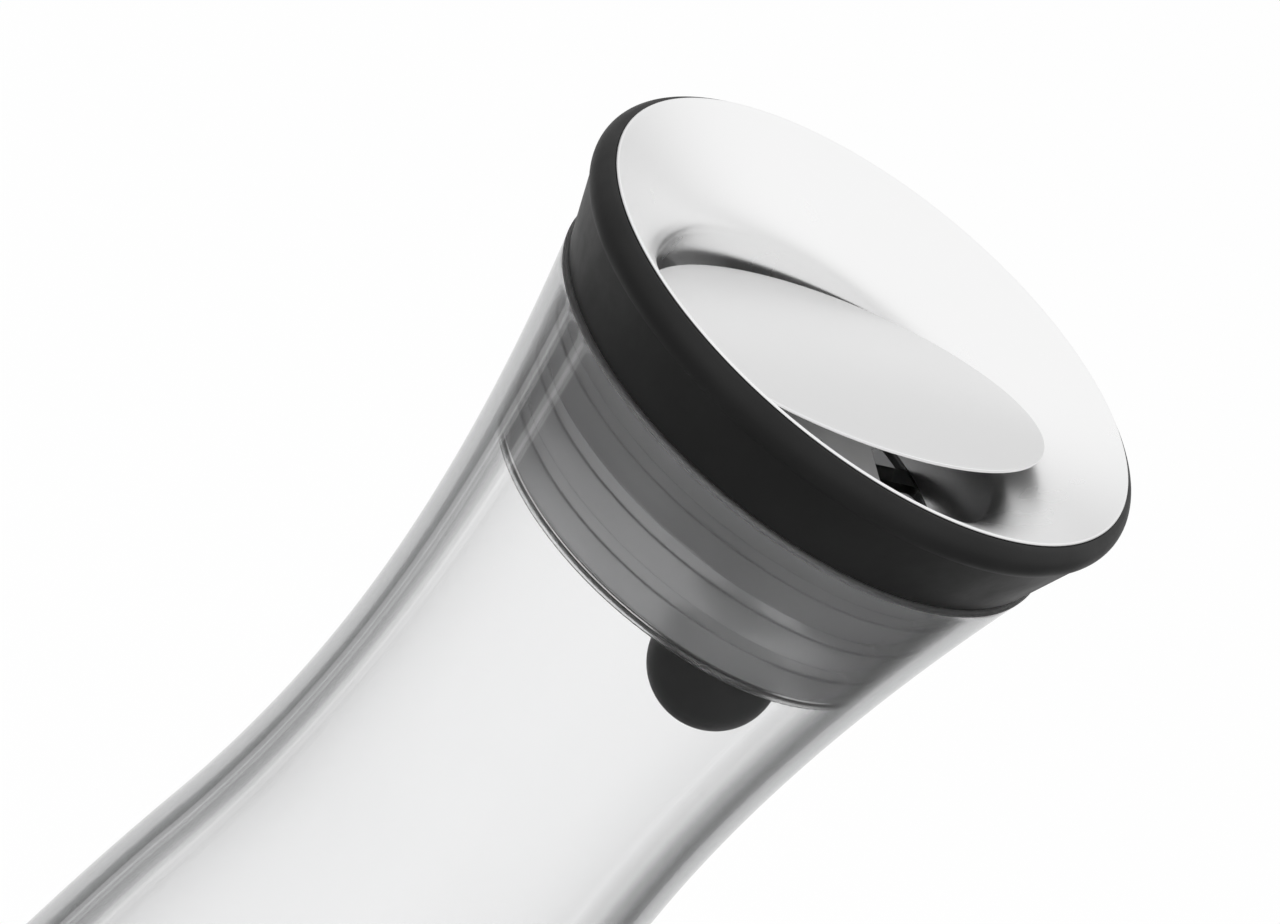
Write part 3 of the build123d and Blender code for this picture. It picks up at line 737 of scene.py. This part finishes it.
class CARAFE_OT_sleeve(bpy.types.Operator):
    """Mould the ribbed sleeve that seals the neck"""

    bl_idname = "carafe.sleeve"
    bl_label = "Ribbed Sleeve"

    def execute(self, context):
        sizes = context.scene.carafe_closure
        glass = context.scene.carafe_glass
        bottom, top = sleeve_low.z, sleeve_high.z
        pitch = (top - bottom + sizes.groove_width) / sizes.rib_count
        rounding = sizes.groove_width / 8

        def side(height, inset):
            """A point on the sleeve's side, moved inwards."""
            return (neck_radius(glass, height) - sizes.glass_gap - inset, height)

        corners = []
        for i in range(sizes.rib_count):
            low = bottom + i * pitch
            high = low + pitch - sizes.groove_width
            crown = side((low + high) / 2, 0)
            rib = three_point(side(low, sizes.rib_crown), crown, side(high, sizes.rib_crown), 12)
            corners += [(*rib[0], rounding), *sharp(rib[1:-1]), (*rib[-1], rounding)]
            if i < sizes.rib_count - 1:
                corners += [(*side(high, sizes.groove_depth), rounding)]
                corners += [(*side(high + sizes.groove_width, sizes.groove_depth), rounding)]
        cage_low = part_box("carrier_cage")[0]
        inner_top = side(glass.height, 0)[0] - sizes.sleeve_wall + sizes.fit
        inner_bottom = side(cage_low.z, 0)[0] - sizes.sleeve_wall + sizes.fit
        slope = (inner_top - inner_bottom) / (glass.height - cage_low.z)
        corners += [(inner_bottom + slope * (top - cage_low.z), top, 0)]
        corners += [(inner_bottom + slope * (bottom - cage_low.z), bottom, 0)]
        surface = finish("smoky_silicone")
        piece = turned("ribbed_sleeve", rounded(corners, 4), surface, glass.segments, sharp_angle=40)
        stand_for(piece, "seal_sleeve", "closure")
        return {"FINISHED"}


class CARAFE_OT_carrier(bpy.types.Operator):
    """Give the carrier, its snap ring and the bridge their moulded finish"""

    bl_idname = "carafe.carrier"
    bl_label = "Carrier and Bridge"

    def execute(self, context):
        dress_node("carrier_cage", "black_plastic")
        dress_node("sleeve_retainer", "black_plastic")
        dress_node("bearing_bridge", "grey_plastic")
        dress_node("glide_ring", "pale_plastic")
        return {"FINISHED"}


def lid_place(scene):
    """The matrix that leans the tipping parts from upright to their open place."""
    lid = scene.carafe_lid
    tilt, pour = lid.open_tilt, lid.pour_azimuth
    out = Vector((cos(pour) * cos(tilt), sin(pour) * cos(tilt), sin(tilt)))
    up = Vector((-cos(pour) * sin(tilt), -sin(pour) * sin(tilt), cos(tilt)))
    across = up.cross(out)
    pivot = Vector((0, 0, scene.carafe_closure.rim_height - lid.pivot_drop))
    turn = Matrix((out, across, up)).transposed().to_4x4()
    return Matrix.Translation(pivot) @ turn


class CARAFE_OT_disc(bpy.types.Operator):
    """Press the closing disc and finish what hangs under it"""

    bl_idname = "carafe.disc"
    bl_label = "Closing Disc"

    def execute(self, context):
        lid = context.scene.carafe_lid
        edge = lid.disc_rounding
        top = -lid.disc_drop
        underside = top - lid.disc_sheet
        middle = (0, top + lid.disc_crown)
        handle = (lid.disc_radius / 2, top + lid.disc_crown)
        dome = bezier(middle, handle, (lid.disc_radius, top), 24)
        corners = sharp(dome[:-1])
        corners += [(*dome[-1], edge), (lid.disc_radius, underside, edge), (0, underside, 0)]
        lean = lid_place(context.scene)
        piece = turned("steel_disc", rounded(corners), finish("satin_steel"), STEEL_STEPS, lean)
        stand_for(piece, "closing_disc", "tipping_lid")
        dress_node("disc_seal", "smoky_silicone")
        dress_node("rocker_plate", "grey_plastic")
        dress_node("stem", "satin_steel")
        dress_node("weight_core", "satin_steel")
        return {"FINISHED"}


class CARAFE_OT_weight(bpy.types.Operator):
    """Mould the soft cover of the weight"""

    bl_idname = "carafe.weight"
    bl_label = "Weight"

    def execute(self, context):
        lid = context.scene.carafe_lid
        bore = lid.stem_radius + context.scene.carafe_closure.fit
        centre = (0, -lid.weight_drop)
        inner = lid.weight_radius - lid.cover_wall
        skin = arc(centre, lid.weight_radius, -pi / 2, pi / 2 - asin(bore / lid.weight_radius), 64)
        hollow = arc(centre, inner, pi / 2 - asin(bore / inner), -pi / 2, 48)
        corners = [*sharp(skin[:-1]), (*skin[-1], lid.cover_rounding), *sharp(hollow)]
        lean = lid_place(context.scene)
        piece = turned("weight_skin", rounded(corners, 4), finish("black_silicone"), BALL_STEPS, lean)
        stand_for(piece, "weight_cover", "tipping_lid")
        return {"FINISHED"}


class StageSettings(bpy.types.PropertyGroup):
    """Camera and studio light."""

    camera_place: place("Camera Place", "Where the camera stands", (-0.0125, -0.6286, 0.5677))
    camera_right: direction("Camera Right", "To the right of the picture", (0.7741, 0.2860, 0.5647))
    camera_back: direction("Camera Back", "Out of the picture", (0.0, -0.8921, 0.4519))
    lens: number("Lens", "Focal length in millimetres", 140.625)
    floor_size: length("Floor Size", "Width of the floor", 6.0)
    floor_glow: number("Floor Glow", "Share of plain white in the floor that is seen", 0.975)
    horizon_level: number("Horizon Level", "How bright the horizon is to gloss", 0.72)
    horizon_top: number("Horizon Top", "Rise of a direction at which the sky is full", 0.7)
    sky_level: number("Sky Level", "Strength of the soft light all round", 0.55)
    sweep_full: number("Sweep Full", "How straight ahead the sweep is full", 0.94)
    sweep_dim: number("Sweep Dim", "How far aside the sweep is dim", 0.68)
    dim_level: number("Dim Level", "Level of the dim sides", 0.16)
    first_strip: angle("First Strip", "Azimuth of a lit strip that gloss shows", 143)
    second_strip: angle("Second Strip", "Azimuth of the other lit strip", 163)
    strip_half: angle("Strip Half", "Half the width of a strip", 2.2)
    strip_softness: angle("Strip Softness", "Width of a strip's soft edge", 2)
    lamp_aim: place("Lamp Aim", "Where the lamps point", (0, 0, 0.2))
    lamp_size: length("Lamp Size", "Width of the soft boxes", 0.8)
    key_place: place("Key Place", "Where the strong soft box hangs", (1.0, -0.8, 1.2))
    key_power: number("Key Power", "Watts of the strong soft box", 12)
    fill_place: place("Fill Place", "Where the weak soft box hangs", (-0.9, -0.7, 1.1))
    fill_power: number("Fill Power", "Watts of the weak soft box", 6)


def inverse(tree, value):
    """1 less a value."""
    return math_node(tree, "SUBTRACT", 1.0, value)


def sweep_level(tree, stage, kinds):
    """The sweep's level for rays of some kinds that nothing matt has scattered, and 1 for the rest."""
    rays = tree.nodes.new("ShaderNodeLightPath")
    level = place_group(
        tree,
        "studio_sweep",
        Full=stage.sweep_full,
        Dim=stage.sweep_dim,
        Dim_Level=stage.dim_level,
        Strips=rays.outputs["Is Glossy Ray"],
        First_Strip=stage.first_strip,
        Second_Strip=stage.second_strip,
        Half_Width=stage.strip_half,
        Softness=stage.strip_softness,
    )
    counted = rays.outputs[kinds[0]]
    for kind in kinds[1:]:
        counted = math_node(tree, "MAXIMUM", counted, rays.outputs[kind])
    undiffused = math_node(tree, "LESS_THAN", rays.outputs["Diffuse Depth"], 0.5)
    counted = math_node(tree, "MULTIPLY", counted, undiffused)
    return inverse(tree, math_node(tree, "MULTIPLY", inverse(tree, level), counted))


def white_where_seen(tree, share):
    """The given share for rays from the eye, through clear pieces and off gloss, and 0 for the rest."""
    rays = tree.nodes.new("ShaderNodeLightPath")
    seen = math_node(tree, "MAXIMUM", rays.outputs["Is Camera Ray"], rays.outputs["Is Glossy Ray"])
    seen = math_node(tree, "MAXIMUM", seen, rays.outputs["Is Transmission Ray"])
    return math_node(tree, "MULTIPLY", seen, share)


def soft_box(name, stage, spot, watts):
    """A large soft lamp that faces the carafe."""
    data = bpy.data.lights.new(name, "AREA")
    data.energy = watts
    data.size = stage.lamp_size
    lamp = bpy.data.objects.new(name, data)
    bpy.context.scene.collection.objects.link(lamp)
    lamp.location = spot
    lamp.visible_glossy = False
    lamp.rotation_euler = (Vector(spot) - Vector(stage.lamp_aim)).to_track_quat("Z", "Y").to_euler()


def floor_finish(stage):
    """A pale floor that reads as white and keeps a soft shadow."""
    material = bpy.data.materials.new("studio_floor")
    material.use_nodes = True
    tree = material.node_tree
    shader = tree.nodes["Principled BSDF"]
    shader.inputs["Base Color"].default_value = (0.9, 0.9, 0.9, 1)
    shader.inputs["Roughness"].default_value = 0.9
    glow = tree.nodes.new("ShaderNodeEmission")
    level = sweep_level(tree, stage, ("Is Transmission Ray", "Is Glossy Ray"))
    link(tree, level, glow.inputs["Color"])
    mix = tree.nodes.new("ShaderNodeMixShader")
    link(tree, white_where_seen(tree, stage.floor_glow), mix.inputs[0])
    link(tree, shader.outputs[0], mix.inputs[1])
    link(tree, glow.outputs[0], mix.inputs[2])
    link(tree, mix.outputs[0], tree.nodes["Material Output"].inputs["Surface"])
    return material


def lay_floor(stage):
    """A square floor under the carafe."""
    half = stage.floor_size / 2
    corners = [(-half, -half, 0), (half, -half, 0), (half, half, 0), (-half, half, 0)]
    mesh = bpy.data.meshes.new("studio_floor")
    mesh.from_pydata(corners, [], [(0, 1, 2, 3)])
    mesh.materials.append(floor_finish(stage))
    floor = bpy.data.objects.new("studio_floor", mesh)
    bpy.context.scene.collection.objects.link(floor)


def light_world(stage):
    """Soft light all round: white where it is seen, and a little darker near the horizon for gloss."""
    world = bpy.data.worlds.new("studio")
    bpy.context.scene.world = world
    world.use_nodes = True
    tree = world.node_tree
    seen = white_where_seen(tree, 1.0)
    rest = math_node(tree, "MULTIPLY", inverse(tree, seen), stage.sky_level)
    level = math_node(tree, "ADD", seen, rest)
    level = math_node(tree, "MULTIPLY", level, sweep_level(tree, stage, ("Is Transmission Ray",)))
    toward = tree.nodes.new("ShaderNodeTexCoord").outputs["Generated"]
    rise = split_place(tree, toward)[2]
    height = mapped(tree, rise, (0.0, stage.horizon_top), (stage.horizon_level, 1.0), smooth=True)
    glossy = tree.nodes.new("ShaderNodeLightPath").outputs["Is Glossy Ray"]
    shade = math_node(tree, "MULTIPLY", glossy, inverse(tree, height))
    link(tree, math_node(tree, "SUBTRACT", level, shade), tree.nodes["Background"].inputs["Color"])


def set_camera(stage):
    """The camera of the photo."""
    data = bpy.data.cameras.new("camera")
    data.sensor_fit = "HORIZONTAL"
    data.sensor_width = 36
    data.lens = stage.lens
    data.clip_start = 0.01
    camera = bpy.data.objects.new("camera", data)
    bpy.context.scene.collection.objects.link(camera)
    back = Vector(stage.camera_back).normalized()
    up = back.cross(Vector(stage.camera_right)).normalized()
    turn = Matrix((up.cross(back), up, back)).transposed().to_4x4()
    camera.matrix_world = Matrix.Translation(stage.camera_place) @ turn
    bpy.context.scene.camera = camera


class CARAFE_OT_stage(bpy.types.Operator):
    """Set up the pale floor, the soft light and the camera"""

    bl_idname = "carafe.stage"
    bl_label = "Stage"

    def execute(self, context):
        stage = context.scene.carafe_stage
        lay_floor(stage)
        light_world(stage)
        soft_box("key_box", stage, stage.key_place, stage.key_power)
        soft_box("fill_box", stage, stage.fill_place, stage.fill_power)
        set_camera(stage)
        context.scene.view_settings.view_transform = "Standard"
        return {"FINISHED"}


BUILD_ORDER = (
    CARAFE_OT_glass,
    CARAFE_OT_funnel,
    CARAFE_OT_collar,
    CARAFE_OT_sleeve,
    CARAFE_OT_carrier,
    CARAFE_OT_disc,
    CARAFE_OT_weight,
    CARAFE_OT_stage,
)

GROUPS = {
    "carafe_glass": GlassSizes,
    "carafe_closure": ClosureSizes,
    "carafe_lid": LidSizes,
    "carafe_colours": FinishColours,
    "carafe_stage": StageSettings,
}


class CARAFE_PT_panel(bpy.types.Panel):
    """Lists the carafe's sizes and its building steps"""

    bl_idname = "CARAFE_PT_panel"
    bl_label = "Water Carafe"
    bl_space_type = "VIEW_3D"
    bl_region_type = "UI"
    bl_category = "Carafe"

    def draw(self, context):
        layout = self.layout
        for name, group in GROUPS.items():
            box = layout.box()
            box.label(text=group.__doc__)
            for prop in group.__annotations__:
                box.prop(getattr(context.scene, name), prop)
        for operator in BUILD_ORDER:
            layout.operator(operator.bl_idname)


def register():
    """Registers the classes and hangs the sizes on the scene."""
    for group in GROUPS.values():
        bpy.utils.register_class(group)
    for name, group in GROUPS.items():
        setattr(bpy.types.Scene, name, PointerProperty(type=group))
    for cls in (*BUILD_ORDER, CARAFE_PT_panel):
        bpy.utils.register_class(cls)


def unregister():
    """Takes the classes and the sizes off again."""
    for cls in reversed((*BUILD_ORDER, CARAFE_PT_panel)):
        bpy.utils.unregister_class(cls)
    for name in GROUPS:
        delattr(bpy.types.Scene, name)
    for group in reversed(GROUPS.values()):
        bpy.utils.unregister_class(group)


def main():
    """Builds the carafe piece by piece."""
    register()
    for operator in BUILD_ORDER:
        area, step = operator.bl_idname.split(".")
        getattr(getattr(bpy.ops, area), step)()


if __name__ == "__main__":
    main()
